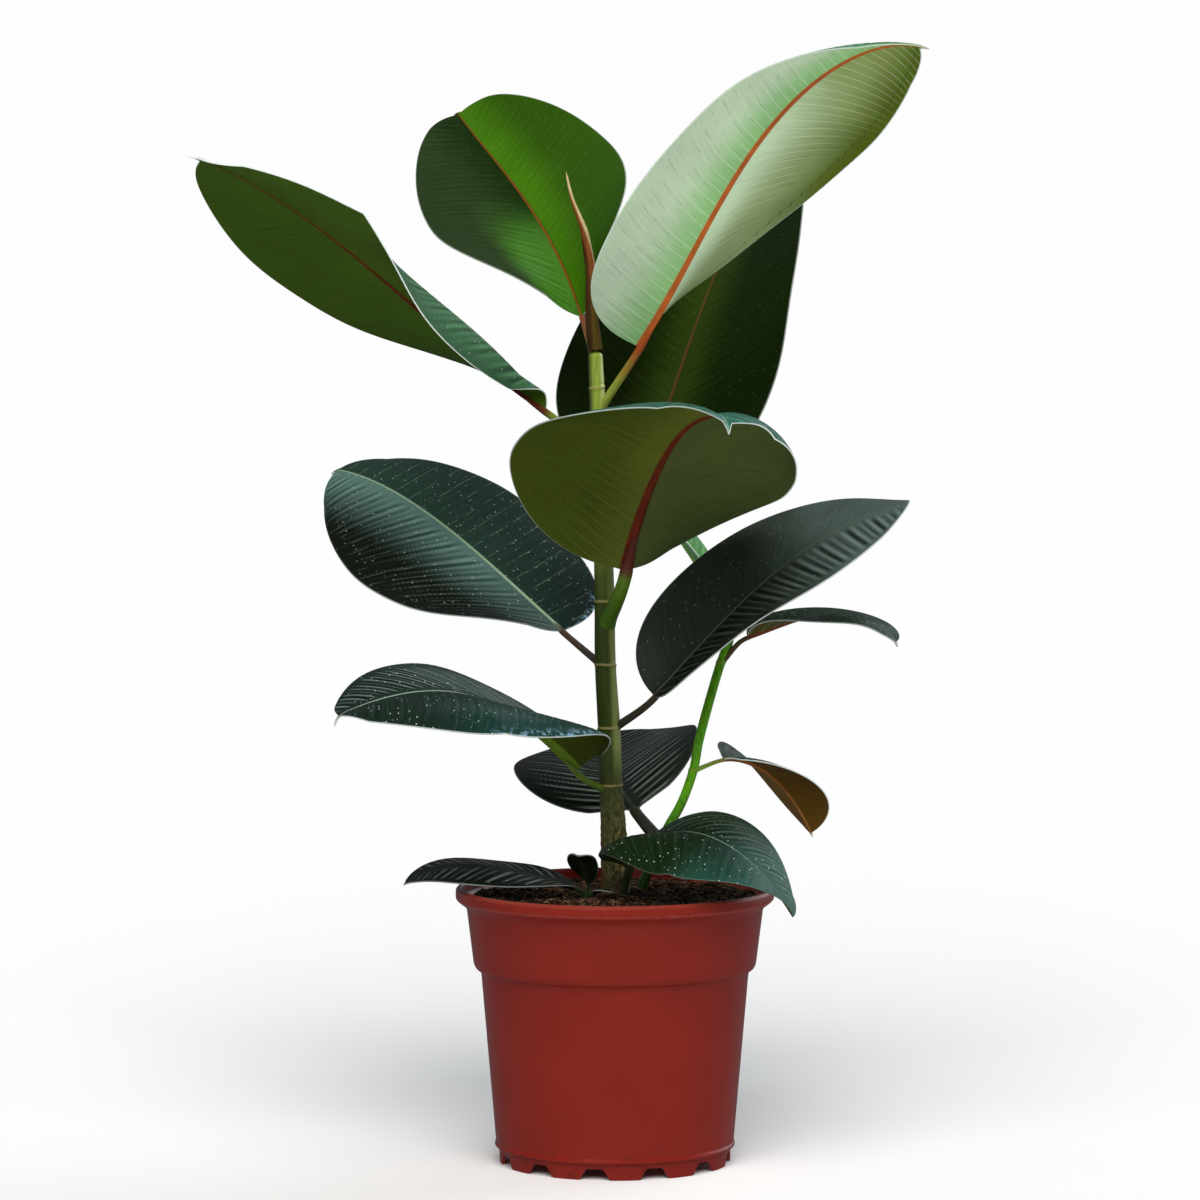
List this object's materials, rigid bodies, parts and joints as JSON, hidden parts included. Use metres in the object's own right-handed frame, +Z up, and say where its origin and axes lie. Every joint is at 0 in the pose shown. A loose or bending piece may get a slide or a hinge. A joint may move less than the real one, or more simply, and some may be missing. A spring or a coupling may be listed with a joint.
{
  "type": "potted rubber plant",
  "caption": "Rubber plant with broad glossy leaves on an upright stem and a thin side stem, in a round plastic nursery pot with a wide collar and notched feet.",
  "frame": {"origin": "middle of the whole plant's bounding box, on the surface that the pot's feet stand on", "axes": "+Z up along the stem, +X to the right of the front view, -Y towards the viewer of the front view"},
  "size_m": [0.381, 0.3534, 0.5964],
  "materials": {
    "pot_plastic": "satin moulded terracotta-red plastic with faint scuffs",
    "potting_soil": "loose dark brown potting mix with pale fibres",
    "bark": "green stem turning to tan corky bark near the soil",
    "green_stem": "smooth bright green young stem",
    "bud_sheath": "waxy red-brown sheath with a pale edge",
    "leaf_pale_green": "satin, pale green underside with an orange-red midrib",
    "leaf_bright_green": "glossy bright green",
    "leaf_olive": "dull olive underside, glossy dark upper face",
    "leaf_teal": "glossy dark blue-green",
    "leaf_dark_green": "glossy very dark green",
    "leaf_brown": "dull brown-olive underside"
  },
  "bodies": {
    "root": {"pot": "pot_plastic", "soil": "potting_soil", "main_stem": "bark", "side_stem": "green_stem", "low_shoot": "green_stem", "bud_sheath": "bud_sheath", "leaf_top_right": "leaf_pale_green", "leaf_top_back": "leaf_bright_green", "leaf_top_left": "leaf_olive", "leaf_upper_back": "leaf_dark_green", "leaf_front": "leaf_olive", "leaf_middle_left": "leaf_teal", "leaf_middle_right": "leaf_dark_green", "leaf_lower_left": "leaf_teal", "leaf_side_back": "leaf_dark_green", "leaf_side_right": "leaf_teal", "leaf_side_drooping": "leaf_brown", "leaf_side_young": "leaf_bright_green", "leaf_low_right": "leaf_teal", "leaf_low_left": "leaf_dark_green", "leaf_low_round": "leaf_dark_green", "leaf_low_sprout": "leaf_dark_green"}
  },
  "joints": []
}
